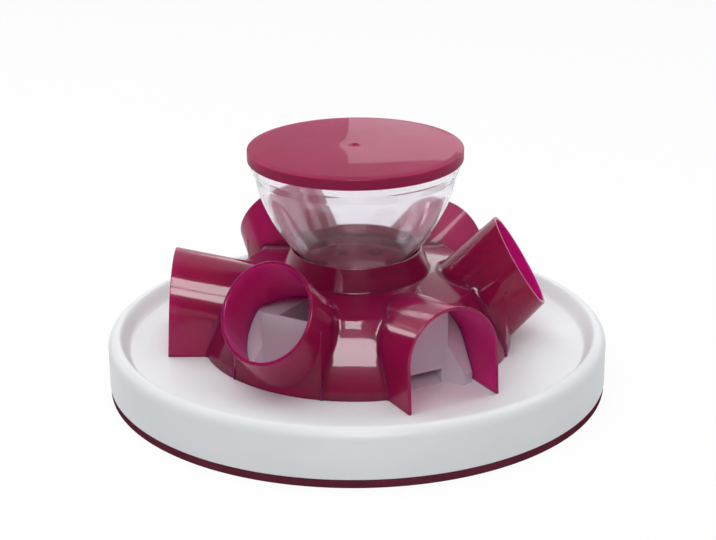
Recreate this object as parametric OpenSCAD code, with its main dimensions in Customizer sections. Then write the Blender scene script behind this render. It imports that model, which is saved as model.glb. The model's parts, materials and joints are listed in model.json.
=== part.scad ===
// Feeder for cats: a round tray, a tower with three arched and three round tunnels,
// a clear bowl that feeds them through a dosing disc, and a lid.
// Millimetres, +Z up, the origin is on the ground under the middle of the tray.

/* [Tray] */
// Outer diameter of the tray
tray_d = 370; // [350:1:400]
// Height of the tray's rim above the ground
rim_z = 42; // [40:0.5:46]
// Height of the tray's floor above the ground
floor_z = 31; // [29:0.5:33]
// Radius of the rounded rim
rim_r = 8; // [7:0.5:9]
// Wall of the tray
tray_wall = 3; // [2.5:0.1:3.5]
// Width of the rim's ledge under the floor plate
ledge_w = 8; // [6:0.5:12]
// Depth of the shallow recess in the floor under the tunnels
recess_depth = 3; // [2:0.5:4]
// Thickness of the ribs under the floor plate
rib_t = 2; // [1.5:0.1:3]
// Number of ribs under the floor plate
rib_count = 12; // [6:6:24]

/* [Anti-slip ring] */
// Height of the ring
ring_h = 6.5; // [6:0.5:9]
// Radial width of the ring
ring_w = 5; // [4.5:0.1:7]
// Thickness of the tray's tongue in the ring's groove
tongue_t = 1.4; // [1:0.1:1.8]
// Depth of the ring's groove
groove_depth = 4; // [2:0.5:5]
// Step between the tray's wall and the ring
ring_step = 0.5; // [0.2:0.1:1]
// Grooves in the ring's tread
tread_count = 2; // [1:1:2]
// Width of a groove in the tread
tread_w = 0.8; // [0.6:0.1:1]

/* [Tower] */
// Diameter of the tower's foot
foot_d = 230; // [224:1:240]
// Height of the upright band at the tower's foot
foot_h = 5; // [3:0.5:8]
// Diameter of the tower where its skirt meets the deck
deck_d = 181; // [176:1:188]
// Height of the deck's outer edge above the tray's floor
deck_h = 51; // [48:0.5:54]
// Rise of the deck towards the collar
deck_rise = 5.2; // [4:0.1:7]
// Wall of the tower
hub_wall = 2.5; // [2:0.1:3]
// Height of the collar above the deck
collar_h = 17.3; // [15:0.1:19]
// Wall of the collar
collar_wall = 2.2; // [1.8:0.1:2.6]
// Space between the collar's edge and the bowl's side
collar_gap = 0.6; // [0.4:0.1:1]
// Widening of the collar from its edge to its foot
collar_flare = 6.1; // [4:0.1:7]

/* [Arched tunnels] */
// Outer width of an arched tunnel
arch_w = 73; // [68:0.5:76]
// Distance of an arched tunnel's mouth from the middle, at the floor
arch_reach = 138; // [132:1:146]
// Height of an arched tunnel's mouth above the floor
arch_h = 70.7; // [66:0.1:76]
// Slope of an arched tunnel's crown
arch_slope = 12; // [9:1:16]
// Lean of an arched tunnel's mouth
arch_lean = 3.3; // [1:0.1:6]
// Wall of the tunnels
tunnel_wall = 2.5; // [2:0.1:3]

/* [Round tunnels] */
// Outer diameter of a round tunnel
tube_d = 71.6; // [66:0.2:73]
// Slope of a round tunnel
tube_slope = 45; // [42:1:48]
// Draft of a round tunnel, which widens inwards
tube_draft = 2; // [0:0.5:3]
// Distance of a round mouth's middle from the tower's axis
tube_mouth_r = 120.5; // [116:0.5:126]
// Height of a round mouth's middle above the floor
tube_mouth_h = 62.5; // [60:0.5:66]
// Slope of the line square to a round mouth
tube_mouth_tilt = 31; // [27:1:40]
// Width of the bib under a round tunnel
bib_w = 73; // [73:0.5:78]

/* [Food divider] */
// Distance of a pocket's back wall from the tower's axis
pocket_r = 98; // [92:0.5:102]
// Width of a pocket's back wall
pocket_w = 38; // [36:0.5:44]
// Angle between a pocket's side and the tunnel's axis
pocket_flare = 36; // [30:1:42]
// Width of a food chute
chute_w = 28; // [24:0.5:30]
// Height of the outlet at the foot of a pocket's back wall
outlet_h = 12; // [10:0.5:16]
// Height of the chutes' peak above the recess
peak_h = 44; // [36:0.5:48]
// Wall of the divider
divider_wall = 2.5; // [2:0.1:3]
// Gap between the divider's top and the tower above it
divider_top_gap = 3.5; // [2:0.5:6]
// Distance of the divider's screws from the axis
screw_pitch_r = 80; // [74:1:86]
// Diameter of a divider screw's shank
screw_d = 3; // [2.5:0.1:3.5]
// Length of a divider screw's shank
screw_len = 16; // [12:1:20]
// Diameter of a divider screw's head
screw_head_d = 7; // [6:0.2:8]
// Height of a screw's head
screw_head_h = 2.4; // [2:0.1:3]
// Diameter of a screw boss
boss_d = 9; // [8:0.5:12]

/* [Dosing disc] */
// Thickness of the dosing disc
disc_t = 2.8; // [2.4:0.1:3.4]
// Diameter of a food outlet in the disc and the throat plate
outlet_d = 14; // [12:0.5:14]
// Distance of the food outlets from the axis
outlet_r = 28; // [27:0.5:28.5]
// Diameter of the disc's stub
stub_d = 10; // [8:0.5:14]
// Diameter of the pivot screw's shank
pivot_d = 3; // [2.5:0.1:3.5]
// Diameter of the pivot screw's head
pivot_head_d = 16; // [15:0.5:20]
// Number of lugs that turn the disc with the bowl
lug_count = 3; // [2:1:3]
// Width of a lug
lug_w = 6; // [4:0.5:8]
// Height of a lug
lug_h = 3; // [2:0.5:4]

/* [Bowl and lid] */
// Outer diameter of the bowl's rim band
bowl_d = 152; // [151:0.5:156]
// Outer diameter of the bowl's body where its side stands upright
bowl_body_d = 149.6; // [146:0.2:150]
// Height of the bowl's rim above the dosing disc
bowl_h = 88.4; // [84:0.2:92]
// Height of the straight band below the bowl's rim
bowl_band_h = 15.5; // [12:0.5:18]
// Height of the sloping shoulder below the band
bowl_shoulder_h = 6; // [4:0.5:8]
// Radius of the bowl's side, seen from the side
bowl_side_r = 109.2; // [106:0.2:112]
// Wall of the bowl
bowl_wall = 2; // [1.6:0.1:2.4]
// Inner diameter of the bowl's outlet
bowl_outlet_d = 74; // [73.5:0.5:75]
// Width of the bowl's foot ring
bowl_foot_w = 4; // [3.5:0.1:5]
// Height of the lid
lid_h = 9.5; // [8:0.5:12]
// Thickness of the lid
lid_t = 2.2; // [1.8:0.1:2.6]
// Radius of the lid's rounded edge
lid_edge_r = 3; // [2.6:0.1:4]
// Width of the raised rim on the lid
lid_rim_w = 7; // [5:0.5:10]
// Depth of the lid's middle below its rim
lid_dish = 0.8; // [0.4:0.1:1.2]
// Diameter of the gate mark in the middle of the lid
gate_d = 7; // [4:0.5:10]

/* [Fits] */
// Gap at the seam between a tunnel and the tower
seam = 0.15; // [0.1:0.05:0.3]
// Reach of a tunnel's inner end past the tower's wall
spigot = 0.4; // [0.3:0.05:0.6]
// Gap between pieces that come apart
clearance = 0.3; // [0.2:0.05:0.4]
// Gap under a piece that rests on another
seat_gap = 0.1; // [0.05:0.05:0.2]
// Radial gap of the turning stub
running_gap = 0.1; // [0.05:0.01:0.1]

/* [Hidden] */
$fn = 96;
arc_steps = 14;
past = 1;
big = 400;
sector = 60;
arch_names = ["arch_front", "arch_back", "arch_left"];
arch_turns = [-60, 60, 180];
tube_names = ["tube_front", "tube_right", "tube_back"];
tube_turns = [-120, 0, 120];

burgundy = [0.42, 0.03, 0.16];
ring_colour = [0.33, 0.08, 0.18];
white = [0.9, 0.9, 0.91];
clear = [0.86, 0.84, 0.92, 0.4];
steel = [0.7, 0.7, 0.72];

// Tray
tray_r = tray_d / 2;
rim_mid_r = tray_r - rim_r;
rim_mid_z = rim_z - rim_r;
recess_z = floor_z - recess_depth;
pan_z = recess_z - tray_wall;
rim_foot_r = rim_mid_r - sqrt(rim_r * rim_r - pow(rim_mid_z - floor_z, 2));
ledge_z = floor_z - tray_wall - seat_gap;
ledge_in_r = rim_foot_r - ledge_w;
ring_r = tray_r - ring_step;
tongue_in_r = tray_r - tray_wall;
tongue_out_r = tongue_in_r + tongue_t;

// Tower
foot_r = foot_d / 2;
deck_r = deck_d / 2;
deck_z = floor_z + deck_h;
plate_z = deck_z + deck_rise;
plate_under_z = plate_z - hub_wall;
collar_top_z = plate_z + collar_h;
skirt_angle = atan2(foot_r - deck_r, deck_h - foot_h);
skirt_inset = hub_wall / cos(skirt_angle);

// Tunnels
arch_r = arch_w / 2;
arch_axis_z = floor_z + arch_h - arch_r / cos(arch_slope);
arch_axis_r = arch_reach - arch_h * tan(arch_lean);
tube_r = tube_d / 2;
tube_mouth_z = floor_z + tube_mouth_h;
tunnel_in = 80;
tunnel_out = 60;

// Divider
divider_top_z = deck_z - hub_wall - divider_top_gap;
divider_gap = spigot + clearance;
recess_r = foot_r - hub_wall - clearance;
peak_z = recess_z + peak_h;
chute_end_r = pocket_r + divider_wall;
screw_r = screw_d / 2;

// Bowl, and the collar around it
disc_z = plate_z + clearance;
disc_top_z = disc_z + disc_t;
bowl_z = disc_top_z + seat_gap;
bowl_rim_z = bowl_z + bowl_h;
bowl_r = bowl_d / 2;
bowl_band_z = bowl_rim_z - bowl_band_h;
bowl_shoulder_z = bowl_band_z - bowl_shoulder_h;
bowl_mid_r = bowl_body_d / 2 - bowl_side_r;
bowl_outlet_r = bowl_outlet_d / 2;
bowl_foot_r = max(bowl_outlet_r + bowl_foot_w, bowl_reach(bowl_z, 0));
collar_in_r = max(bowl_foot_r, bowl_reach(collar_top_z, 0)) + collar_gap;
collar_r = collar_in_r + collar_wall;
collar_foot_r = collar_r + collar_flare;
collar_foot_in_r = collar_in_r + collar_flare;

// Dosing disc and lid
disc_r = collar_in_r - clearance;
stub_r = stub_d / 2;
stub_under_z = plate_under_z - clearance;
lug_r = bowl_outlet_r + bowl_foot_w / 2;
lug_t = bowl_foot_w - 2 * clearance;
lid_in_r = bowl_r + clearance;
lid_r = lid_in_r + lid_t;
lid_z = bowl_rim_z + seat_gap + lid_t - lid_h;
lid_top_z = lid_z + lid_h;

// Points along an arc, from angle a0 to angle a1
function arc(mid, r, a0, a1, steps = arc_steps) =
    [for (i = [0:steps]) let (a = a0 + (a1 - a0) * i / steps) mid + r * [cos(a), sin(a)]];

// Turns a piece about the tower's axis
module turned(angle) {
    rotate([0, 0, angle])
        children();
}

// One copy for each of the six tunnels
module each_tunnel() {
    for (i = [0:5])
        turned(i * sector)
            children();
}

// One copy for each of the six places between the tunnels
module each_lobe() {
    for (i = [0:5])
        turned((i + 0.5) * sector)
            children();
}

// A side view, drawn in radius and height, given a width across the radius
module plate_across(width) {
    translate([0, width / 2, 0])
        rotate([90, 0, 0])
            linear_extrude(width)
                children();
}

// Everything below the tray's floor
module below_floor() {
    translate([-big / 2, -big / 2, floor_z - big])
        cube(big);
}

// Space inside the tower's shell, drawn in by a gap
module tower_inside(gap) {
    rotate_extrude()
        polygon([
            [0, pan_z],
            [foot_r - hub_wall - gap, pan_z],
            [foot_r - hub_wall - gap, floor_z + foot_h],
            [deck_r - skirt_inset - gap, deck_z - hub_wall],
            [collar_foot_in_r, plate_under_z],
            [0, plate_under_z]
        ]);
}

// Outer form of an arched tunnel, grown all round
module arch_form(grow = 0) {
    r = arch_r + grow;
    translate([arch_axis_r, 0, arch_axis_z])
        rotate([0, 90 - arch_slope, 0])
            translate([0, 0, -tunnel_in])
                linear_extrude(tunnel_in + tunnel_out)
                    union() {
                        circle(r);
                        translate([0, -r])
                            square([big / 2, 2 * r]);
                    }
}

// Space in front of an arched tunnel's mouth
module arch_mouth_cut() {
    translate([arch_reach, 0, floor_z])
        rotate([0, -arch_lean, 0])
            translate([0, -big / 2, -big / 2])
                cube(big);
}

// Tapered bar along a round tunnel's axis
module tube_bar(r, extra = 0) {
    inward = tunnel_in + extra;
    outward = tunnel_out + extra;
    translate([tube_mouth_r, 0, tube_mouth_z])
        rotate([0, 90 - tube_slope, 0])
            translate([0, 0, -inward])
                cylinder(
                    r1 = r + inward * tan(tube_draft),
                    r2 = r - outward * tan(tube_draft),
                    h = inward + outward
                );
}

// Space in front of a round tunnel's mouth
module tube_mouth_cut() {
    translate([tube_mouth_r, 0, tube_mouth_z])
        rotate([0, -tube_mouth_tilt, 0])
            translate([0, -big / 2, -big / 2])
                cube(big);
}

// Form of the bib under a round tunnel: upright sides and a round front
module bib_form(grow = 0) {
    out_r = foot_r + grow + past;
    rise = (out_r - tube_mouth_r) * tan(tube_slope);
    heel_r = tube_mouth_r - tube_mouth_h / tan(tube_slope);
    lift = grow / cos(tube_slope);
    intersection() {
        plate_across(bib_w + 2 * grow)
            polygon([
                [heel_r - lift, floor_z - past],
                [out_r, floor_z - past],
                [out_r, tube_mouth_z + rise + lift],
                [heel_r - lift, floor_z]
            ]);
        translate([0, 0, pan_z])
            cylinder(r = foot_r + grow, h = big);
    }
}

module base_plate() {
    color(white)
        difference() {
            union() {
                translate([0, 0, floor_z - tray_wall])
                    cylinder(r = rim_foot_r - seam, h = tray_wall);
                recess_pan();
                tray_ribs();
            }
            recess_space();
            each_lobe()
                translate([screw_pitch_r, 0, pan_z - past])
                    cylinder(r = screw_r + clearance, h = tray_wall + 2 * past);
        }
}

module tray_rim() {
    in_rim_r = rim_r - tray_wall;
    dip_a = 180 + asin((rim_mid_z - floor_z) / rim_r);
    color(white)
        rotate_extrude()
            polygon(concat(
                arc([rim_mid_r, rim_mid_z], rim_r, dip_a, 0),
                [
                    [tray_r, ring_h],
                    [tongue_out_r, ring_h],
                    [tongue_out_r, ring_h - groove_depth],
                    [tongue_in_r, ring_h - groove_depth]
                ],
                arc([rim_mid_r, rim_mid_z], in_rim_r, 0, 180),
                [
                    [rim_mid_r - in_rim_r, ledge_z - tray_wall],
                    [ledge_in_r, ledge_z - tray_wall],
                    [ledge_in_r, ledge_z],
                    [rim_foot_r, ledge_z]
                ]
            ));
}

// Plan of the recess: a round seat for the divider and a tongue under each arch
module recess_plan(grow) {
    circle(recess_r + grow);
    half = arch_r - tunnel_wall - clearance + grow;
    for (turn = arch_turns)
        rotate(turn)
            translate([0, -half])
                square([arch_reach - clearance + grow, 2 * half]);
}

module recess_pan() {
    translate([0, 0, pan_z])
        linear_extrude(recess_depth + tray_wall / 2)
            recess_plan(tray_wall);
}

module recess_space() {
    translate([0, 0, recess_z])
        linear_extrude(recess_depth + past)
            recess_plan(0);
}

module tray_ribs() {
    rib_in_r = norm([arch_reach + tray_wall, arch_r + tray_wall]);
    rib_out_r = ledge_in_r - clearance;
    for (i = [0:rib_count - 1])
        turned((i + 0.5) * 360 / rib_count)
            translate([rib_in_r, -rib_t / 2, pan_z])
                cube([rib_out_r - rib_in_r, rib_t, recess_depth + tray_wall / 2]);
}

module anti_slip_ring() {
    lip = clearance / 2;
    color(ring_colour)
        rotate_extrude()
            difference() {
                translate([ring_r - ring_w, 0])
                    square([ring_w, ring_h]);
                translate([tongue_in_r - lip, ring_h - groove_depth - lip])
                    square([tongue_t + 2 * lip, groove_depth + past]);
                for (i = [1:tread_count])
                    translate([ring_r - ring_w * i / (tread_count + 1) - tread_w / 2, -past])
                        square([tread_w, past + tread_w]);
            }
}

// Plan of the six pockets, with their walls pushed back by a thickness
module pockets_plan(back = 0) {
    slope = tan(pocket_flare);
    near_r = pocket_r - back;
    near_v = pocket_w / 2 - slope * back + back / cos(pocket_flare);
    far_r = foot_r + foot_r / 4;
    far_v = near_v + slope * (far_r - near_r);
    for (i = [0:5])
        rotate(i * sector)
            polygon([[near_r, -near_v], [near_r, near_v], [far_r, far_v], [far_r, -far_v]]);
}

// Plan of the six chutes, with their walls pushed back by a thickness
module chutes_plan(back = 0) {
    half = chute_w / 2 + back;
    for (i = [0:5])
        rotate(i * sector)
            translate([0, -half])
                square([pocket_r, 2 * half]);
}

// Upright form of the divider's walls, with everything pushed in by a thickness
module lobes_form(back, top_z) {
    intersection() {
        translate([0, 0, recess_z])
            linear_extrude(top_z - recess_z)
                difference() {
                    circle(foot_r);
                    pockets_plan(back);
                    chutes_plan(back);
                }
        tower_inside(divider_gap + back);
    }
}

module food_divider() {
    slope = peak_h / chute_end_r;
    drop = divider_wall * sqrt(1 + slope * slope);
    color(white)
        difference() {
            union() {
                difference() {
                    lobes_form(0, divider_top_z);
                    translate([0, 0, -past])
                        lobes_form(divider_wall, divider_top_z - divider_wall + past);
                }
                each_lobe()
                    translate([screw_pitch_r, 0, recess_z])
                        cylinder(r = boss_d / 2, h = divider_top_z - divider_wall / 2 - recess_z);
                chute_floors(slope, drop);
                back_walls();
            }
            each_lobe()
                translate([screw_pitch_r, 0, recess_z - past])
                    cylinder(r = screw_r, h = screw_len + 2 * past);
        }
}

// Sloping chute floors: parts of one cone
module chute_floors(slope, drop) {
    intersection() {
        rotate_extrude()
            polygon([
                [0, peak_z],
                [chute_end_r, recess_z],
                [chute_end_r - drop / slope, recess_z],
                [0, peak_z - drop]
            ]);
        translate([0, 0, recess_z])
            linear_extrude(peak_h)
                chutes_plan(divider_wall / 2);
    }
}

// Height of an arched tunnel's ceiling at a distance from the tower's axis and to one side
function arch_ceiling(r, side) =
    arch_axis_z - (arch_axis_r - r) * tan(arch_slope)
    + sqrt(pow(arch_r - tunnel_wall, 2) - side * side) / cos(arch_slope);

// Back walls of the pockets, from above the outlets to under the tunnels' ceilings
module back_walls() {
    back_r = pocket_r - divider_wall;
    foot_z = recess_z + outlet_h;
    top_z = arch_ceiling(back_r, pocket_w / 2) - divider_top_gap;
    each_tunnel()
        translate([back_r, -pocket_w / 2, foot_z])
            cube([divider_wall, pocket_w, top_z - foot_z]);
}

module divider_screws() {
    color(steel)
        each_lobe()
            translate([screw_pitch_r, 0, pan_z]) {
                translate([0, 0, -screw_head_h])
                    cylinder(r = screw_head_d / 2, h = screw_head_h);
                cylinder(r = screw_r - seat_gap, h = screw_len + tray_wall);
            }
}

module tunnel_hub() {
    color(burgundy)
        difference() {
            rotate_extrude()
                polygon([
                    [foot_r - hub_wall, floor_z],
                    [foot_r, floor_z],
                    [foot_r, floor_z + foot_h],
                    [deck_r, deck_z],
                    [collar_foot_r, plate_z],
                    [collar_r, collar_top_z],
                    [collar_in_r, collar_top_z],
                    [collar_foot_in_r, plate_z],
                    [0, plate_z],
                    [0, plate_under_z],
                    [collar_foot_in_r, plate_under_z],
                    [deck_r - skirt_inset, deck_z - hub_wall],
                    [foot_r - hub_wall, floor_z + foot_h]
                ]);
            for (turn = arch_turns)
                turned(turn)
                    arch_form(seam);
            for (turn = tube_turns)
                turned(turn) {
                    tube_bar(tube_r + seam);
                    bib_form(seam);
                }
            each_tunnel()
                translate([outlet_r, 0, plate_under_z - past])
                    cylinder(r = outlet_d / 2, h = hub_wall + 2 * past);
            translate([0, 0, plate_under_z - past])
                cylinder(r = stub_r + running_gap, h = hub_wall + 2 * past);
        }
}

module arch_tunnel(turn) {
    color(burgundy)
        turned(turn)
            difference() {
                arch_form();
                arch_form(-tunnel_wall);
                below_floor();
                arch_mouth_cut();
                tower_inside(spigot);
            }
}

module tube_tunnel(turn) {
    color(burgundy)
        turned(turn)
            difference() {
                union() {
                    difference() {
                        bib_form();
                        bib_form(-tunnel_wall);
                    }
                    tube_bar(tube_r);
                }
                tube_bar(tube_r - tunnel_wall, past);
                below_floor();
                tube_mouth_cut();
                tower_inside(spigot);
            }
}

module dosing_disc() {
    color(burgundy)
        difference() {
            union() {
                translate([0, 0, disc_z])
                    cylinder(r = disc_r, h = disc_t);
                translate([0, 0, stub_under_z])
                    cylinder(r = stub_r, h = disc_z - stub_under_z + disc_t / 2);
                for (i = [0:lug_count - 1])
                    turned(i * 360 / lug_count)
                        translate([lug_r - lug_t / 2, -lug_w / 2, disc_top_z - disc_t / 2])
                            cube([lug_t, lug_w, disc_t / 2 + lug_h]);
            }
            each_tunnel()
                translate([outlet_r, 0, disc_z - past])
                    cylinder(r = outlet_d / 2, h = disc_t + 2 * past);
            translate([0, 0, stub_under_z - past])
                cylinder(r = pivot_d / 2, h = hub_wall + disc_t / 2 + past);
        }
}

module pivot_screw() {
    color(steel)
        translate([0, 0, stub_under_z]) {
            translate([0, 0, -screw_head_h])
                cylinder(r = pivot_head_d / 2, h = screw_head_h);
            cylinder(r = pivot_d / 2 - seat_gap, h = hub_wall + disc_t / 4);
        }
}

// Radius of the bowl's round side at a height and at a depth in its wall
function bowl_reach(z, depth) =
    bowl_mid_r + sqrt(pow(bowl_side_r - depth, 2) - pow(bowl_rim_z - z, 2));

// Side of the bowl at a depth in its wall, from a radius near its foot up to the shoulder
function bowl_side(depth, from_r) =
    let (r = bowl_side_r - depth)
    arc(
        [bowl_mid_r, bowl_rim_z],
        r,
        -acos((from_r - bowl_mid_r) / r),
        -asin((bowl_rim_z - bowl_shoulder_z) / r),
        2 * arc_steps
    );

function reversed(list) = [for (i = [len(list) - 1:-1:0]) list[i]];

module bowl() {
    floor_in_z = bowl_z + bowl_wall;
    floor_in_r = max(bowl_outlet_r, bowl_reach(floor_in_z, bowl_wall));
    color(clear)
        difference() {
            rotate_extrude()
                polygon(concat(
                    [[bowl_outlet_r, bowl_z], [bowl_foot_r, bowl_z]],
                    bowl_side(0, bowl_foot_r),
                    [
                        [bowl_r, bowl_band_z],
                        [bowl_r, bowl_rim_z],
                        [bowl_r - bowl_wall, bowl_rim_z],
                        [bowl_r - bowl_wall, bowl_band_z]
                    ],
                    reversed(bowl_side(bowl_wall, floor_in_r)),
                    [[bowl_outlet_r, floor_in_z]]
                ));
            for (i = [0:lug_count - 1])
                turned(i * 360 / lug_count)
                    translate([0, -lug_w / 2 - clearance, bowl_z - past])
                        cube([bowl_foot_r + past, lug_w + 2 * clearance, past + lug_h + clearance]);
        }
}

module lid() {
    dish_r = lid_r - lid_rim_w;
    dish_z = lid_top_z - lid_dish;
    color(burgundy)
        rotate_extrude()
            polygon(concat(
                [
                    [0, dish_z - lid_t],
                    [0, dish_z - lid_dish],
                    [gate_d / 2, dish_z],
                    [dish_r - lid_dish, dish_z],
                    [dish_r, lid_top_z]
                ],
                arc([lid_r - lid_edge_r, lid_top_z - lid_edge_r], lid_edge_r, 90, 0),
                [
                    [lid_r, lid_z],
                    [lid_in_r, lid_z],
                    [lid_in_r, lid_top_z - lid_t],
                    [dish_r - lid_dish, lid_top_z - lid_t],
                    [dish_r - 2 * lid_dish, dish_z - lid_t]
                ]
            ));
}

base_plate();
tray_rim();
anti_slip_ring();
food_divider();
divider_screws();
tunnel_hub();
for (i = [0:2])
    arch_tunnel(arch_turns[i]);
for (i = [0:2])
    tube_tunnel(tube_turns[i]);
dosing_disc();
pivot_screw();
bowl();
lid();
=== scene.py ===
import json
import math

import bmesh
import bpy
from mathutils import Matrix, Vector


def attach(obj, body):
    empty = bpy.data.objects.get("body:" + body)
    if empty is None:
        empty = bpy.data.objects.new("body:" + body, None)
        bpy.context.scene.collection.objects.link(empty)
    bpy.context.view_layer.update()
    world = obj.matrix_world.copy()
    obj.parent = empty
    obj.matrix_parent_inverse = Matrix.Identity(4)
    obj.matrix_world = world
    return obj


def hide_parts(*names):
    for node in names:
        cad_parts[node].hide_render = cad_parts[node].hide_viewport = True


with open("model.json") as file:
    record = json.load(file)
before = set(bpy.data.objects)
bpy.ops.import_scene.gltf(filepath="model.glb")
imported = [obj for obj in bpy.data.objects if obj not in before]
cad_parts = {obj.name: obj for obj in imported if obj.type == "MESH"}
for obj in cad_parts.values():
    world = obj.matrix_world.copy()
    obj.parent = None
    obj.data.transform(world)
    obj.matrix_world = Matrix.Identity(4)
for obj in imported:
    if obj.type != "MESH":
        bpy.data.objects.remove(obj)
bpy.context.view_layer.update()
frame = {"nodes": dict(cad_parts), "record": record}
nodes = frame["nodes"]
MM = 0.001


# Camera: the photograph's view, with the image taken as 716 by 540
IMAGE_W = 716
FOCAL_PX = 1823.44
CAMERA_DISTANCE = 1350.12 * MM
CAMERA_TILT = math.radians(20.59)
CAMERA_TURN = math.radians(1.0)
CAMERA_ROLL = math.radians(-0.47)
CAMERA_SHIFT = 0.00226
SENSOR_MM = 36
AIM = Vector((0, 0, 85.39 * MM))


def make_camera():
    flat = CAMERA_DISTANCE * math.cos(CAMERA_TILT)
    place = AIM + Vector((flat * math.sin(CAMERA_TURN), -flat * math.cos(CAMERA_TURN),
                          CAMERA_DISTANCE * math.sin(CAMERA_TILT)))
    back = (place - AIM).normalized()
    right = Vector((0, 0, 1)).cross(back).normalized()
    up = back.cross(right)
    c, s = math.cos(CAMERA_ROLL), math.sin(CAMERA_ROLL)
    right, up = right * c + up * s, up * c - right * s
    data = bpy.data.cameras.new("camera")
    data.sensor_width = SENSOR_MM
    data.lens = FOCAL_PX * SENSOR_MM / IMAGE_W
    data.shift_x = CAMERA_SHIFT
    camera = bpy.data.objects.new("camera", data)
    bpy.context.scene.collection.objects.link(camera)
    camera.matrix_world = Matrix((
        (right.x, up.x, back.x, place.x),
        (right.y, up.y, back.y, place.y),
        (right.z, up.z, back.z, place.z),
        (0, 0, 0, 1)))
    bpy.context.scene.camera = camera


make_camera()


# Materials
def new_material(name):
    material = bpy.data.materials.new(name)
    material.use_nodes = True
    tree = material.node_tree
    return material, tree, tree.nodes["Principled BSDF"]


def noise(tree, scale, detail=3.0):
    place = tree.nodes.new("ShaderNodeTexCoord")
    node = tree.nodes.new("ShaderNodeTexNoise")
    node.inputs["Scale"].default_value = scale
    node.inputs["Detail"].default_value = detail
    node.inputs["Roughness"].default_value = 0.5
    tree.links.new(place.outputs["Object"], node.inputs["Vector"])
    return node.outputs["Fac"]


def vary_colour(tree, shader, scale, low, high):
    ramp = tree.nodes.new("ShaderNodeValToRGB")
    ramp.color_ramp.elements[0].position = 0.35
    ramp.color_ramp.elements[1].position = 0.65
    ramp.color_ramp.elements[0].color = (*low, 1)
    ramp.color_ramp.elements[1].color = (*high, 1)
    tree.links.new(noise(tree, scale), ramp.inputs["Fac"])
    tree.links.new(ramp.outputs["Color"], shader.inputs["Base Color"])


def vary_rough(tree, shader, scale, low, high):
    node = tree.nodes.new("ShaderNodeMapRange")
    node.inputs["From Min"].default_value = 0.3
    node.inputs["From Max"].default_value = 0.7
    node.inputs["To Min"].default_value = low
    node.inputs["To Max"].default_value = high
    tree.links.new(noise(tree, scale, 1.0), node.inputs["Value"])
    tree.links.new(node.outputs["Result"], shader.inputs["Roughness"])


def add_bump(tree, shader, scale, strength, height):
    node = tree.nodes.new("ShaderNodeBump")
    node.inputs["Strength"].default_value = strength
    node.inputs["Distance"].default_value = height
    tree.links.new(noise(tree, scale, 2.0), node.inputs["Height"])
    tree.links.new(node.outputs["Normal"], shader.inputs["Normal"])


def burgundy(name, low, high, through, rough, gloss):
    """Translucent plastic: light goes through or spreads in the wall, under a clear gloss."""
    material, tree, shader = new_material(name)
    vary_colour(tree, shader, 14, low, high)
    vary_rough(tree, shader, 30, rough * 0.88, rough * 1.12)
    add_bump(tree, shader, 22, 0.06, 0.0006)
    shader.inputs["IOR"].default_value = 1.25
    shader.inputs["Specular IOR Level"].default_value = 0.0
    shader.inputs["Transmission Weight"].default_value = through
    shader.inputs["Subsurface Weight"].default_value = 1.0
    shader.inputs["Subsurface Radius"].default_value = (1.0, 0.3, 0.8)
    shader.inputs["Subsurface Scale"].default_value = 0.012
    shader.inputs["Coat Weight"].default_value = gloss
    shader.inputs["Coat Roughness"].default_value = 0.03
    shader.inputs["Coat IOR"].default_value = 1.5
    return material


def plastic_white(name, low, high, rough, grain):
    material, tree, shader = new_material(name)
    vary_colour(tree, shader, 9, low, high)
    vary_rough(tree, shader, 40, rough * 0.88, rough * 1.12)
    add_bump(tree, shader, 30, grain, 0.0005)
    shader.inputs["Specular IOR Level"].default_value = 0.2
    return material


def clear_plastic(name):
    material, tree, shader = new_material(name)
    vary_colour(tree, shader, 12, (0.955, 0.94, 0.98), (0.97, 0.955, 0.99))
    vary_rough(tree, shader, 10, 0.04, 0.07)
    add_bump(tree, shader, 18, 0.05, 0.0006)
    shader.inputs["IOR"].default_value = 1.47
    shader.inputs["Transmission Weight"].default_value = 0.95
    shader.inputs["Subsurface Weight"].default_value = 1.0
    shader.inputs["Subsurface Radius"].default_value = (1.0, 0.95, 1.0)
    shader.inputs["Subsurface Scale"].default_value = 0.015
    return material


def rubber(name):
    material, tree, shader = new_material(name)
    vary_colour(tree, shader, 40, (0.12, 0.022, 0.038), (0.145, 0.028, 0.047))
    vary_rough(tree, shader, 12, 0.5, 0.62)
    add_bump(tree, shader, 2600, 0.25, 0.0001)
    shader.inputs["Specular IOR Level"].default_value = 0.0
    return material


def steel(name):
    material, tree, shader = new_material(name)
    vary_colour(tree, shader, 300, (0.5, 0.5, 0.52), (0.64, 0.64, 0.66))
    vary_rough(tree, shader, 900, 0.3, 0.38)
    shader.inputs["Metallic"].default_value = 1.0
    return material


TOWER = burgundy("tower_plastic", (0.31, 0.008, 0.078), (0.36, 0.011, 0.094), 0.55, 0.22, 0.42)
# Lighter, pinker copy of the tower plastic for the tunnels' inner faces: painted glow for light that comes
# through the walls
INSIDE_GLOW = burgundy("tunnel_inside_painted_glow", (0.58, 0.008, 0.21), (0.63, 0.011, 0.24), 0.5, 0.22, 0.25)
LID = burgundy("lid_plastic", (0.28, 0.007, 0.06), (0.32, 0.01, 0.072), 0.25, 0.36, 0.2)
DISC = burgundy("disc_plastic", (0.3, 0.01, 0.06), (0.35, 0.014, 0.075), 0.25, 0.36, 0.25)
TRAY = plastic_white("tray_plastic", (0.78, 0.8, 0.82), (0.81, 0.83, 0.85), 0.36, 0.05)
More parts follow.
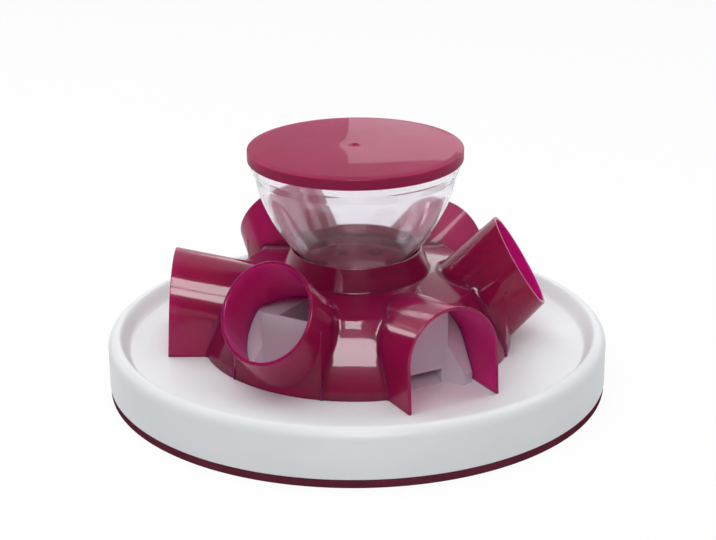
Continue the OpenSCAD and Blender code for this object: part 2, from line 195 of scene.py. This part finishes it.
# The divider is white plastic; its darker mauve grey is painted shade and painted pink light for the
# pockets inside the tunnels
DIVIDER_SHADED = plastic_white("divider_plastic_painted_shade", (0.6, 0.57, 0.63), (0.64, 0.61, 0.67), 0.42, 0.05)
RING = rubber("ring_rubber")
BOWL = clear_plastic("bowl_plastic")
STEEL = steel("screw_steel")
MATERIALS = {
    "tray_white": TRAY, "divider_white": DIVIDER_SHADED, "ring_rubber": RING, "tower_burgundy": TOWER,
    "lid_burgundy": LID, "disc_burgundy": DISC, "bowl_clear": BOWL, "screw_steel": STEEL,
}
SLOTS = {row["node"]: row["material_slot"] for row in frame["record"]["subparts"]}
BODY_OF = {n: body for body, members in frame["record"]["behaviour"]["bodies"].items() for n in members}


def dress(obj, slot):
    obj.data.materials.clear()
    obj.data.materials.append(MATERIALS[slot])


for name, obj in nodes.items():
    dress(obj, SLOTS[name])


# Sizes in millimetres, most of them shared with the solids
FLOOR_Z = 31.0
FOOT_R, FOOT_H = 115.0, 5.0
DECK_R, DECK_Z, PLATE_Z = 90.5, 82.0, 87.2
HUB_WALL = 2.5
BOWL_SIDE_R, BOWL_BODY_R, BOWL_R, BOWL_WALL = 109.2, 74.8, 76.0, 2.0
BOWL_Z, BOWL_RIM_Z, BOWL_BAND_Z, BOWL_SHOULDER_Z = 90.4, 178.8, 166.5, 161.0
BOWL_OUTLET_R, BOWL_FOOT_R = 37.0, 41.0
COLLAR_TOP_Z = 104.5
COLLAR_GAP, COLLAR_WALL, COLLAR_FLARE = 0.6, 2.2, 6.1
ARCH_R, ARCH_REACH, ARCH_H, ARCH_SLOPE, ARCH_LEAN = 36.5, 138.0, 70.7, 12.0, 3.3
ARCH_MIDDLE_R = ARCH_REACH - ARCH_H * math.tan(math.radians(ARCH_LEAN))
ARCH_MIDDLE_Z = FLOOR_Z + ARCH_H - ARCH_R / math.cos(math.radians(ARCH_SLOPE))
TUBE_R, TUBE_MOUTH_R, TUBE_MOUTH_Z, TUBE_SLOPE, TUBE_TILT = 35.8, 120.5, 93.5, 45.0, 31.0
TUBE_DRAFT = 2.0
BIB_HALF = 36.5
TUNNEL_WALL, SEAM, SPIGOT = 2.5, 0.15, 0.4
ARCHES = {"arch_front": -60, "arch_back": 60, "arch_left": 180}
TUBES = {"tube_front": -120, "tube_right": 0, "tube_back": 120}
OUTLET_R, OUTLET_HALF, STUB_R = 28.0, 7.0, 5.1
LUG_HALF, LUG_TOP_Z = 3.3, 93.7
LID_R, LID_IN_R, LID_Z, LID_TOP_Z, LID_T = 78.5, 76.3, 172.4, 181.1, 2.2
LID_FACE_R, LID_EDGE_Z, LID_CROWN = 73.5, 180.3, 0.9
GATE_R, GATE_DEPTH, GATE_RING_W, GATE_RING_H, GATE_SLOPE_W = 3.2, 0.7, 2.0, 0.25, 1.8
TRAY_R, RIM_R, RIM_MID_Z, TRAY_WALL = 185.0, 8.0, 34.0, 3.0
RIM_FOOT_R, LEDGE_W, LEDGE_Z = 169.58, 8.0, 27.9
RIM_EASE, RIM_STEPS = 1.5, 24
RING_R, RING_W, RING_H, TREAD_W = 184.5, 5.0, 6.5, 0.8
TONGUE_IN_R, TONGUE_OUT_R, TONGUE_Z, TONGUE_GAP = 182.0, 183.4, 2.5, 0.15
HUB_EASE, ARCH_EASE, TUBE_EASE = 0.35, 0.7, 0.6
TURN, FINE_TURN, ARC_STEPS, LID_STEPS = 192, 288, 64, 16


def rad(angle):
    return math.radians(angle)


def rounded(points, steps=6):
    """Closed outline of (r, z) or (r, z, radius) points, with each radius turned into an arc."""
    made = []
    count = len(points)
    for i, point in enumerate(points):
        here = Vector(point[:2])
        radius = point[2] if len(point) > 2 else 0
        if radius <= 0:
            made.append(here)
            continue
        to_last = (Vector(points[i - 1][:2]) - here).normalized()
        to_next = (Vector(points[(i + 1) % count][:2]) - here).normalized()
        half = to_last.angle(to_next) / 2
        reach = radius / math.tan(half)
        middle = here + (to_last + to_next).normalized() * (radius / math.sin(half))
        start, end = here + to_last * reach - middle, here + to_next * reach - middle
        sweep = start.angle_signed(end)
        for k in range(steps + 1):
            angle = -sweep * k / steps
            c, s = math.cos(angle), math.sin(angle)
            made.append(middle + Vector((start.x * c - start.y * s, start.x * s + start.y * c)))
    return made


def bulged(start, end, rise, steps):
    """Points strictly between start and end on a shallow arc that stands off the line by rise."""
    a, b = Vector(start), Vector(end)
    along = b - a
    side = Vector((along.y, -along.x)).normalized()
    return [tuple(a + along * t + side * (4 * rise * t * (1 - t)))
            for t in (k / steps for k in range(1, steps))]


def object_from(bm, name):
    mesh = bpy.data.meshes.new(name)
    bmesh.ops.recalc_face_normals(bm, faces=bm.faces)
    bm.to_mesh(mesh)
    bm.free()
    obj = bpy.data.objects.new(name, mesh)
    bpy.context.scene.collection.objects.link(obj)
    return obj


def revolved(name, outline, turn=TURN):
    """Solid of revolution of a closed (r, z) outline given in millimetres."""
    bm = bmesh.new()
    rings = []
    for r, z in outline:
        if r < 1e-6:
            rings.append([bm.verts.new((0, 0, z * MM))] * turn)
        else:
            rings.append([bm.verts.new((r * MM * math.cos(2 * math.pi * k / turn),
                                        r * MM * math.sin(2 * math.pi * k / turn), z * MM))
                          for k in range(turn)])
    for i, ring in enumerate(rings):
        after = rings[(i + 1) % len(rings)]
        for k in range(turn):
            corners = [ring[k], ring[(k + 1) % turn], after[(k + 1) % turn], after[k]]
            corners = [v for j, v in enumerate(corners) if v is not corners[j - 1]]
            if len(set(corners)) > 2:
                bm.faces.new(corners)
    return object_from(bm, name)


def prism(name, outline, place, axis_x, axis_y, axis_z, depth, far_outline=None):
    """Outline in millimetres in the axis_x, axis_y plane at place, pushed along axis_z by depth."""
    bm = bmesh.new()
    place = Vector(place)
    ends = [[bm.verts.new((place + axis_x * x + axis_y * y + axis_z * d) * MM) for x, y in points]
            for d, points in ((0, outline), (depth, far_outline or outline))]
    count = len(outline)
    for k in range(count):
        n = (k + 1) % count
        bm.faces.new((ends[0][k], ends[0][n], ends[1][n], ends[1][k]))
    bm.faces.new(ends[0])
    bm.faces.new(ends[1])
    return object_from(bm, name)


def combine(obj, other, how="DIFFERENCE"):
    """Boolean of obj with other, which is used up."""
    step = obj.modifiers.new("cut", "BOOLEAN")
    step.operation = how
    step.solver = "MANIFOLD"
    step.object = other
    settle(obj)
    bpy.data.objects.remove(other)
    return obj


def settle(obj):
    """Applies the object's modifiers to its mesh."""
    graph = bpy.context.evaluated_depsgraph_get()
    mesh = bpy.data.meshes.new_from_object(obj.evaluated_get(graph))
    obj.modifiers.clear()
    old = obj.data
    obj.data = mesh
    bpy.data.meshes.remove(old)


def ease_edges(obj, width, segments=3, angle=38):
    """Rounds the sharp edges."""
    bm = bmesh.new()
    bm.from_mesh(obj.data)
    bmesh.ops.remove_doubles(bm, verts=bm.verts, dist=2e-5)
    bmesh.ops.dissolve_degenerate(bm, edges=bm.edges, dist=1e-5)
    bm.to_mesh(obj.data)
    bm.free()
    step = obj.modifiers.new("bevel", "BEVEL")
    step.limit_method = "ANGLE"
    step.angle_limit = rad(angle)
    step.width = width * MM
    step.segments = segments
    step.use_clamp_overlap = False
    step.harden_normals = False
    settle(obj)


def smooth(obj, angle=35):
    for face in obj.data.polygons:
        face.use_smooth = True
    obj.data.set_sharp_from_angle(angle=rad(angle))
    weigh = obj.modifiers.new("weigh", "WEIGHTED_NORMAL")
    weigh.keep_sharp = True
    settle(obj)


def take_place(obj, *names):
    slot = SLOTS[names[0]]
    dress(obj, slot)
    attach(obj, BODY_OF[names[0]])
    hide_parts(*names)


X, Y, Z = Vector((1, 0, 0)), Vector((0, 1, 0)), Vector((0, 0, 1))


def turned(obj, angle):
    obj.data.transform(Matrix.Rotation(rad(angle), 4, "Z"))
    return obj


# Forms of the tunnels, along +X, and of the tower's inside
BEYOND = 300
WIDE_SQUARE = [(-BEYOND, -BEYOND), (BEYOND, -BEYOND), (BEYOND, BEYOND), (-BEYOND, BEYOND)]
FORM_BACK, FORM_FORTH, FORM_SINK = 80, 60, 6


def slanted(angle):
    return Vector((math.cos(rad(angle)), 0, math.sin(rad(angle))))


def arc_points(middle, radius, start, end, steps):
    angles = [rad(start + (end - start) * k / steps) for k in range(steps + 1)]
    return [(middle[0] + radius * math.cos(a), middle[1] + radius * math.sin(a)) for a in angles]


def circle_points(r, count=128):
    step = 2 * math.pi / count
    return [(r * math.cos(step * k), r * math.sin(step * k)) for k in range(count)]


def arch_form(grow):
    r = ARCH_R + grow
    down, along = slanted(-(90 - ARCH_SLOPE)), slanted(ARCH_SLOPE)
    outline = arc_points((0, 0), r, 90, 270, ARC_STEPS) + [(BEYOND, -r), (BEYOND, r)]
    start = Vector((ARCH_MIDDLE_R, 0, ARCH_MIDDLE_Z)) - along * FORM_BACK
    return prism("arch_form", outline, start, down, Y, along, FORM_BACK + FORM_FORTH)


def half_space(place, angle):
    """Everything beyond a plane through place, square to a line that rises by angle."""
    out, up = slanted(angle), slanted(angle + 90)
    return prism("beyond", WIDE_SQUARE, place, Y, up, out, BEYOND)


def tube_bar(r, extra=0):
    along, up = slanted(TUBE_SLOPE), slanted(TUBE_SLOPE + 90)
    back, forth = FORM_BACK + extra, FORM_FORTH + extra
    start = Vector((TUBE_MOUTH_R, 0, TUBE_MOUTH_Z)) - along * back
    grow = math.tan(rad(TUBE_DRAFT))
    near = circle_points(r + back * grow)
    far = circle_points(r - forth * grow)
    return prism("tube_bar", near, start, Y, up, along, back + forth, far)


def bib_form(grow):
    far = FOOT_R + grow + 1
    lift = grow / math.cos(rad(TUBE_SLOPE))
    heel = TUBE_MOUTH_R - (TUBE_MOUTH_Z - FLOOR_Z) - lift
    outline = [(heel, FLOOR_Z - 1), (far, FLOOR_Z - 1), (far, TUBE_MOUTH_Z + far - TUBE_MOUTH_R + lift),
               (heel, FLOOR_Z)]
    half = BIB_HALF + grow
    block = prism("bib_form", outline, (0, -half, 0), X, Z, Y, 2 * half)
    drum = prism("drum", circle_points(FOOT_R + grow, 256), (0, 0, FLOOR_Z - FORM_SINK), X, Y, Z, BEYOND)
    return combine(block, drum, "INTERSECT")


def collar_in_r():
    fall = BOWL_RIM_Z - COLLAR_TOP_Z
    return BOWL_BODY_R - BOWL_SIDE_R + math.sqrt(BOWL_SIDE_R ** 2 - fall ** 2) + COLLAR_GAP


SKIRT_INSET = HUB_WALL / math.cos(math.atan2(FOOT_R - DECK_R, DECK_Z - FLOOR_Z - FOOT_H))


def tower_inside():
    foot_r = FOOT_R - HUB_WALL - SPIGOT
    outline = [(0, FLOOR_Z - FORM_SINK), (foot_r, FLOOR_Z - FORM_SINK), (foot_r, FLOOR_Z + FOOT_H),
               (DECK_R - SKIRT_INSET - SPIGOT, DECK_Z - HUB_WALL),
               (collar_in_r() + COLLAR_FLARE, PLATE_Z - HUB_WALL), (0, PLATE_Z - HUB_WALL)]
    return revolved("tower_inside", outline)


def below_floor():
    return prism("below", WIDE_SQUARE, (0, 0, FLOOR_Z - BEYOND), X, Y, Z, BEYOND)


# Tower
SKIRT_BULGE, SKIRT_STEPS, SIDE_STEPS = 2.2, 16, 16


def hub_top():
    """Outer side of the tower from its foot to the collar's edge, as (r, z) points."""
    outer = collar_in_r() + COLLAR_WALL
    foot, edge = (FOOT_R, FLOOR_Z + FOOT_H), (DECK_R, DECK_Z)
    skirt = bulged(foot, edge, SKIRT_BULGE, SKIRT_STEPS)
    return [foot] + skirt + [edge, (outer + COLLAR_FLARE, PLATE_Z), (outer, COLLAR_TOP_Z)]


HUB_TOP = hub_top()


def hub_height(r):
    """Height of the tower's outer side at a radius, far below the floor outside it."""
    for (r0, z0), (r1, z1) in zip(HUB_TOP, HUB_TOP[1:]):
        if r1 <= r <= r0:
            return z0 + (z1 - z0) * (r0 - r) / (r0 - r1)
    return -1000.0


def hub_radius(z):
    """Radius of the tower's skirt at a height."""
    for (r0, z0), (r1, z1) in zip(HUB_TOP, HUB_TOP[1:]):
        if z0 <= z <= z1:
            return r0 + (r1 - r0) * (z - z0) / (z1 - z0)
    return FOOT_R


def hub_normal(point):
    r = math.hypot(point.x, point.y)
    out = Vector((point.x / r, point.y / r, 0))
    if point.z <= FLOOR_Z + FOOT_H + 0.05:
        return out
    rise = (hub_height(r + 0.3) - hub_height(r - 0.3)) / 0.6
    return (Z - out * rise).normalized()


def met(track):
    """Point where a track, a function of the distance inwards, enters the tower."""
    def within(t):
        point = track(t)
        return point.z < hub_height(math.hypot(point.x, point.y))
    far = 0.0
    while not within(far):
        far += 1.0
    near = far - 1.0
    for _ in range(24):
        middle = (near + far) / 2
        if within(middle):
            far = middle
        else:
            near = middle
    return track(far)


def sides_and(sweep, half):
    """Junction line: up one upright side, along the swept points and down the other side."""
    rows = []
    for side, top in ((1, sweep[0][0].z), (-1, sweep[-1][0].z)):
        row = []
        for k in range(SIDE_STEPS):
            z = FLOOR_Z + (top - FLOOR_Z) * k / SIDE_STEPS
            r = hub_radius(z)
            row.append((Vector((math.sqrt(r * r - half * half), side * half, z)), Y * side))
        rows.append(row)
    return rows[0] + sweep + rows[1][::-1]


def arch_junction():
    along, up = slanted(ARCH_SLOPE), slanted(ARCH_SLOPE + 90)
    start = Vector((ARCH_MIDDLE_R, 0, ARCH_MIDDLE_Z))
    sweep = []
    for c, s in arc_points((0, 0), 1, 0, 180, ARC_STEPS):
        away = Y * c + up * s
        sweep.append((met(lambda t: start + away * ARCH_R - along * t), away))
    return sides_and(sweep, ARCH_R)


def tube_junction():
    along, up = slanted(TUBE_SLOPE), slanted(TUBE_SLOPE + 90)
    start = Vector((TUBE_MOUTH_R, 0, TUBE_MOUTH_Z))
    grow = math.tan(rad(TUBE_DRAFT))
    sweep = []
    for c, s in arc_points((0, 0), 1, 0, 180, ARC_STEPS):
        away = Y * c + up * s
        sweep.append((met(lambda t: start + away * (TUBE_R + t * grow) - along * t), away))
    return sides_and(sweep, BIB_HALF)


FILLET_LAP, FILLET_SINK, FILLET_RISE = 0.06, 0.2, 30


def fillet(line, low=1.4, high=4.0, steps=6):
    """Hollow fillet along a junction line, given with the tunnel's normals."""
    bm = bmesh.new()
    rings = []
    for point, away in line:
        size = low + (high - low) * min(1.0, (point.z - FLOOR_Z) / FILLET_RISE)
        normal = hub_normal(point)
        on_hub = (away - normal * away.dot(normal)).normalized()
        on_tunnel = (normal - away * normal.dot(away)).normalized()
        a = point + on_hub * size - normal * FILLET_LAP
        b = point + on_tunnel * size - away * FILLET_LAP
        curve = []
        for k in range(steps + 1):
            t = k / steps
            curve.append(a * (1 - t) ** 2 + point * (2 * t * (1 - t)) + b * t ** 2)
        curve.append(point - (normal + away) * FILLET_SINK)
        rings.append([bm.verts.new(v * MM) for v in curve])
    count = len(rings[0])
    for ring, after in zip(rings, rings[1:]):
        for k in range(count):
            n = (k + 1) % count
            bm.faces.new((ring[k], ring[n], after[n], after[k]))
    bm.faces.new(rings[0])
    bm.faces.new(rings[-1])
    return object_from(bm, "fillet")


def hub_outline():
    inner = collar_in_r()
    outer = inner + COLLAR_WALL
    skirt = bulged((FOOT_R, FLOOR_Z + FOOT_H), (DECK_R, DECK_Z), SKIRT_BULGE, SKIRT_STEPS)
    points = [(FOOT_R - HUB_WALL, FLOOR_Z), (FOOT_R, FLOOR_Z, 0.5), (FOOT_R, FLOOR_Z + FOOT_H)]
    points += skirt
    points += [(DECK_R, DECK_Z, 2.6), (outer + COLLAR_FLARE, PLATE_Z, 1.6), (outer, COLLAR_TOP_Z, 0.9),
               (inner, COLLAR_TOP_Z, 0.9), (inner + COLLAR_FLARE, PLATE_Z), (0, PLATE_Z),
               (0, PLATE_Z - HUB_WALL), (inner + COLLAR_FLARE, PLATE_Z - HUB_WALL),
               (DECK_R - SKIRT_INSET, DECK_Z - HUB_WALL), (FOOT_R - HUB_WALL, FLOOR_Z + FOOT_H)]
    return rounded(points)


def make_hub():
    hub = revolved("tower_hub", hub_outline())
    for angle in ARCHES.values():
        combine(hub, turned(arch_form(SEAM), angle))
    for angle in TUBES.values():
        combine(hub, turned(tube_bar(TUBE_R + SEAM), angle))
        combine(hub, turned(bib_form(SEAM), angle))
    drill_z, drill_h = PLATE_Z - FORM_SINK, 2 * FORM_SINK
    for x, y in circle_points(OUTLET_R, 6):
        combine(hub, prism("outlet", circle_points(OUTLET_HALF, 48), (x, y, drill_z), X, Y, Z, drill_h))
    combine(hub, prism("pivot_hole", circle_points(STUB_R, 48), (0, 0, drill_z), X, Y, Z, drill_h))
    ease_edges(hub, HUB_EASE, 2)
    for angle in ARCHES.values():
        combine(hub, turned(fillet(arch_junction()), angle), "UNION")
    for angle in TUBES.values():
        combine(hub, turned(fillet(tube_junction()), angle), "UNION")
    smooth(hub)
    take_place(hub, "tunnel_hub")


LOOKS_IN = -0.5


def looks_in(obj, start, slope):
    """For each face, whether it looks at the axis of the tunnel, which rises from the tower at a slope."""
    along, up = slanted(slope), slanted(slope + 90)
    flags = []
    for face in obj.data.polygons:
        offset = face.center / MM - start
        radial = offset - along * offset.dot(along)
        if slope == ARCH_SLOPE and radial.dot(up) < 0:
            radial = Y * offset.y
        flags.append(face.normal.dot(radial) < LOOKS_IN * radial.length)
    return flags


def paint_inside_glow(obj, flags):
    """Gives the inner faces of a tunnel a lighter copy of the plastic, a painted glow for the light that
    comes through its wall.
    """
    obj.data.materials.append(INSIDE_GLOW)
    for face, inner in zip(obj.data.polygons, flags):
        face.material_index = int(inner)


def make_arch(name, angle):
    arch = arch_form(0)
    combine(arch, arch_form(-TUNNEL_WALL))
    combine(arch, below_floor())
    combine(arch, half_space((ARCH_REACH, 0, FLOOR_Z), ARCH_LEAN))
    combine(arch, tower_inside())
    ease_edges(arch, ARCH_EASE)
    smooth(arch)
    arch.name = name + "_shell"
    inner = looks_in(arch, Vector((ARCH_REACH, 0, ARCH_MIDDLE_Z)), ARCH_SLOPE)
    take_place(turned(arch, angle), name)
    paint_inside_glow(arch, inner)


def make_tube(name, angle):
    tube = bib_form(0)
    combine(tube, bib_form(-TUNNEL_WALL))
    combine(tube, tube_bar(TUBE_R), "UNION")
    combine(tube, tube_bar(TUBE_R - TUNNEL_WALL, 1))
    combine(tube, below_floor())
    combine(tube, half_space((TUBE_MOUTH_R, 0, TUBE_MOUTH_Z), TUBE_TILT))
    combine(tube, tower_inside())
    ease_edges(tube, TUBE_EASE)
    smooth(tube)
    tube.name = name + "_shell"
    inner = looks_in(tube, Vector((TUBE_MOUTH_R, 0, TUBE_MOUTH_Z)), TUBE_SLOPE)
    take_place(turned(tube, angle), name)
    paint_inside_glow(tube, inner)


# Bowl, lid, tray rim and ring
def bowl_side(depth, from_r):
    middle = (BOWL_BODY_R - BOWL_SIDE_R, BOWL_RIM_Z)
    radius = BOWL_SIDE_R - depth
    low = -math.degrees(math.acos((from_r - middle[0]) / radius))
    high = -math.degrees(math.asin((BOWL_RIM_Z - BOWL_SHOULDER_Z) / radius))
    return arc_points(middle, radius, low, high, 48)


def make_bowl():
    inner_r = BOWL_R - BOWL_WALL
    outline = [(BOWL_OUTLET_R, BOWL_Z, 0.3), (BOWL_FOOT_R, BOWL_Z, 0.6)]
    outline += bowl_side(0, BOWL_FOOT_R)
    outline += [(BOWL_R, BOWL_BAND_Z, 2), (BOWL_R, BOWL_RIM_Z, 0.7)]
    outline += [(inner_r, BOWL_RIM_Z, 0.7), (inner_r, BOWL_BAND_Z, 2)]
    outline += reversed(bowl_side(BOWL_WALL, BOWL_OUTLET_R))
    bowl = revolved("bowl_shell", rounded(outline))
    notch = [(0, -LUG_HALF), (BOWL_FOOT_R + 1, -LUG_HALF), (BOWL_FOOT_R + 1, LUG_HALF), (0, LUG_HALF)]
    for angle in (0, 120, 240):
        cut = prism("notch", notch, (0, 0, BOWL_Z - 1), X, Y, Z, LUG_TOP_Z - BOWL_Z + 1)
        combine(bowl, turned(cut, angle))
    smooth(bowl)
    take_place(bowl, "bowl")


def make_lid():
    crown_z = LID_TOP_Z + LID_CROWN
    gate_edge = (GATE_R + GATE_RING_W, crown_z)
    outline = [(0, LID_TOP_Z - LID_T), (LID_IN_R, LID_TOP_Z - LID_T, 0.8), (LID_IN_R, LID_Z, 0.4),
               (LID_R, LID_Z, 0.6), (LID_R, LID_EDGE_Z, 0.7), (LID_FACE_R, LID_TOP_Z, 0.5)]
    outline += bulged((LID_FACE_R, LID_TOP_Z), gate_edge, LID_CROWN * 0.6, LID_STEPS)
    outline += [(*gate_edge, 1), (GATE_R, crown_z + GATE_RING_H, 0.5),
                (GATE_R - GATE_SLOPE_W, crown_z - GATE_DEPTH, 0.4), (0, crown_z - GATE_DEPTH)]
    lid = revolved("lid_shell", rounded(outline))
    smooth(lid)
    take_place(lid, "lid")


def make_rim():
    middle = (TRAY_R - RIM_R, RIM_MID_Z)
    inner = RIM_R - TRAY_WALL
    foot_r = RIM_FOOT_R - RIM_EASE
    outline = []
    for k in range(RIM_STEPS + 1):
        t = k / RIM_STEPS
        rise = t * t * (3 - 2 * t)
        outline.append((foot_r + (middle[0] - foot_r) * t,
                        FLOOR_Z + (RIM_MID_Z + RIM_R - FLOOR_Z) * rise))
    outline += arc_points(middle, RIM_R, 90, 0, RIM_STEPS)[1:]
    outline += [(TRAY_R, RING_H, 0.4), (TONGUE_OUT_R, RING_H)]
    outline += [(TONGUE_OUT_R, TONGUE_Z), (TONGUE_IN_R, TONGUE_Z)]
    outline += arc_points(middle, inner, 0, 180, 20)
    outline += [(middle[0] - inner, LEDGE_Z - TRAY_WALL), (RIM_FOOT_R - LEDGE_W, LEDGE_Z - TRAY_WALL),
                (RIM_FOOT_R - LEDGE_W, LEDGE_Z), (RIM_FOOT_R, LEDGE_Z), (RIM_FOOT_R, FLOOR_Z)]
    rim = revolved("rim_shell", rounded(outline), FINE_TURN)
    smooth(rim)
    take_place(rim, "tray_rim")


def make_ring():
    inner = RING_R - RING_W
    outline = [(inner, 0, 0.5)]
    for middle in (RING_R - RING_W * 2 / 3, RING_R - RING_W / 3):
        a, b = middle - TREAD_W / 2, middle + TREAD_W / 2
        outline += [(a, 0), (a, TREAD_W), (b, TREAD_W), (b, 0)]
    groove_out, groove_in = TONGUE_OUT_R + TONGUE_GAP, TONGUE_IN_R - TONGUE_GAP
    groove_z = TONGUE_Z - TONGUE_GAP
    outline += [(RING_R, 0, 0.9), (RING_R, RING_H, 0.8), (groove_out, RING_H), (groove_out, groove_z),
                (groove_in, groove_z), (groove_in, RING_H), (inner, RING_H, 0.5)]
    ring = revolved("ring_shell", rounded(outline), FINE_TURN)
    smooth(ring)
    take_place(ring, "anti_slip_ring")


make_bowl()
make_lid()
make_rim()
make_ring()
make_hub()
for name, angle in ARCHES.items():
    make_arch(name, angle)
for name, angle in TUBES.items():
    make_tube(name, angle)


# Floor, world and lights
FLOOR_DROP = 0.2 * MM
FLOOR_GLOW = 0.94
LAMP_AIM = Vector((0, 0, 80 * MM))


def seen_rays(tree, in_gloss=None):
    """1 for rays that show the background: from the camera, through walls or, by in_gloss, in gloss."""
    path = tree.nodes.new("ShaderNodeLightPath")
    gloss = path.outputs["Is Glossy Ray"]
    if in_gloss:
        share = tree.nodes.new("ShaderNodeMath")
        share.operation = "MULTIPLY"
        tree.links.new(gloss, share.inputs[0])
        tree.links.new(in_gloss, share.inputs[1])
        gloss = share.outputs[0]
    seen = path.outputs["Is Camera Ray"]
    for other in (path.outputs["Is Transmission Ray"], gloss):
        either = tree.nodes.new("ShaderNodeMath")
        either.operation = "MAXIMUM"
        tree.links.new(seen, either.inputs[0])
        tree.links.new(other, either.inputs[1])
        seen = either.outputs[0]
    return seen


def make_floor():
    mesh = bpy.data.meshes.new("floor")
    bm = bmesh.new()
    bmesh.ops.create_grid(bm, x_segments=8, y_segments=8, size=6)
    bm.to_mesh(mesh)
    bm.free()
    floor = bpy.data.objects.new("floor", mesh)
    floor.location.z = -FLOOR_DROP
    bpy.context.scene.collection.objects.link(floor)
    material, tree, shader = new_material("floor_paper")
    vary_colour(tree, shader, 3, (0.87, 0.87, 0.875), (0.89, 0.89, 0.895))
    shader.inputs["Roughness"].default_value = 0.9
    shader.inputs["Specular IOR Level"].default_value = 0.0
    out = tree.nodes["Material Output"]
    glow = tree.nodes.new("ShaderNodeEmission")
    glow.inputs["Strength"].default_value = 1.0
    share = tree.nodes.new("ShaderNodeMath")
    share.operation = "MULTIPLY"
    share.inputs[1].default_value = FLOOR_GLOW
    tree.links.new(seen_rays(tree), share.inputs[0])
    mix = tree.nodes.new("ShaderNodeMixShader")
    tree.links.new(share.outputs[0], mix.inputs["Fac"])
    tree.links.new(shader.outputs[0], mix.inputs[1])
    tree.links.new(glow.outputs[0], mix.inputs[2])
    tree.links.new(mix.outputs[0], out.inputs["Surface"])
    floor.data.materials.append(material)


def make_world():
    world = bpy.data.worlds.new("studio")
    bpy.context.scene.world = world
    world.use_nodes = True
    tree = world.node_tree
    back = tree.nodes["Background"]
    back.inputs["Color"].default_value = (0.9, 0.92, 0.96, 1)
    back.inputs["Strength"].default_value = 0.14
    white = tree.nodes.new("ShaderNodeBackground")
    white.inputs["Color"].default_value = (1, 1, 1, 1)
    white.inputs["Strength"].default_value = 1.0
    place = tree.nodes.new("ShaderNodeTexCoord")
    split = tree.nodes.new("ShaderNodeSeparateXYZ")
    tree.links.new(place.outputs["Generated"], split.inputs[0])
    behind = tree.nodes.new("ShaderNodeMapRange")
    behind.inputs["From Min"].default_value = 0.0
    behind.inputs["From Max"].default_value = 0.5
    tree.links.new(split.outputs["Y"], behind.inputs["Value"])
    mix = tree.nodes.new("ShaderNodeMixShader")
    tree.links.new(seen_rays(tree, behind.outputs["Result"]), mix.inputs["Fac"])
    tree.links.new(back.outputs[0], mix.inputs[1])
    tree.links.new(white.outputs[0], mix.inputs[2])
    tree.links.new(mix.outputs[0], tree.nodes["World Output"].inputs["Surface"])


def softbox(name, azimuth, elevation, distance, width, height, power, part, sideways=0.0):
    """Area lamp aimed at the tower, then moved sideways; part says what it lights, gloss or matt."""
    data = bpy.data.lights.new(name, "AREA")
    data.shape = "RECTANGLE"
    data.size = width
    data.size_y = height
    data.energy = power
    a, e = rad(azimuth), rad(elevation)
    light = bpy.data.objects.new(name, data)
    bpy.context.scene.collection.objects.link(light)
    away = Vector((math.sin(a) * math.cos(e), -math.cos(a) * math.cos(e), math.sin(e)))
    light.location = LAMP_AIM + away * distance + away.cross(Z).normalized() * sideways
    light.rotation_euler = away.to_track_quat("Z", "Y").to_euler()
    light.visible_camera = False
    light.visible_diffuse = part == "matt"
    light.visible_glossy = part == "gloss"


make_floor()
make_world()

# Lamps: name, azimuth and elevation in degrees, distance, width and height in metres, power in watts
softbox("fill_top", 0, 89, 1.6, 2.2, 2.2, 22.5, "matt")
softbox("fill_left", -125, 40, 1.8, 1.4, 1.0, 8.5, "matt")
softbox("fill_right", 105, 36, 1.8, 1.4, 1.0, 4, "matt")
softbox("fill_front", -5, 40, 1.7, 1.2, 0.8, 8, "matt")
softbox("key", -2.3, 52.6, 0.61, 0.12, 0.235, 1.45, "gloss")
softbox("front", -0.5, 33.2, 1.7, 1.1, 0.46, 27, "gloss")
softbox("right", 114, 52, 1.6, 0.6, 0.5, 5.5, "gloss")
softbox("back_right", 180, 16.7, 2.1, 2.2, 0.42, 6, "gloss", sideways=1.05)
softbox("back_left", -156.8, 23.1, 1.92, 0.35, 0.3, 1.4, "gloss")
softbox("low_left", -131, 13, 1.9, 0.5, 0.12, 1.1, "gloss")

scene = bpy.context.scene
scene.view_settings.view_transform = "Standard"
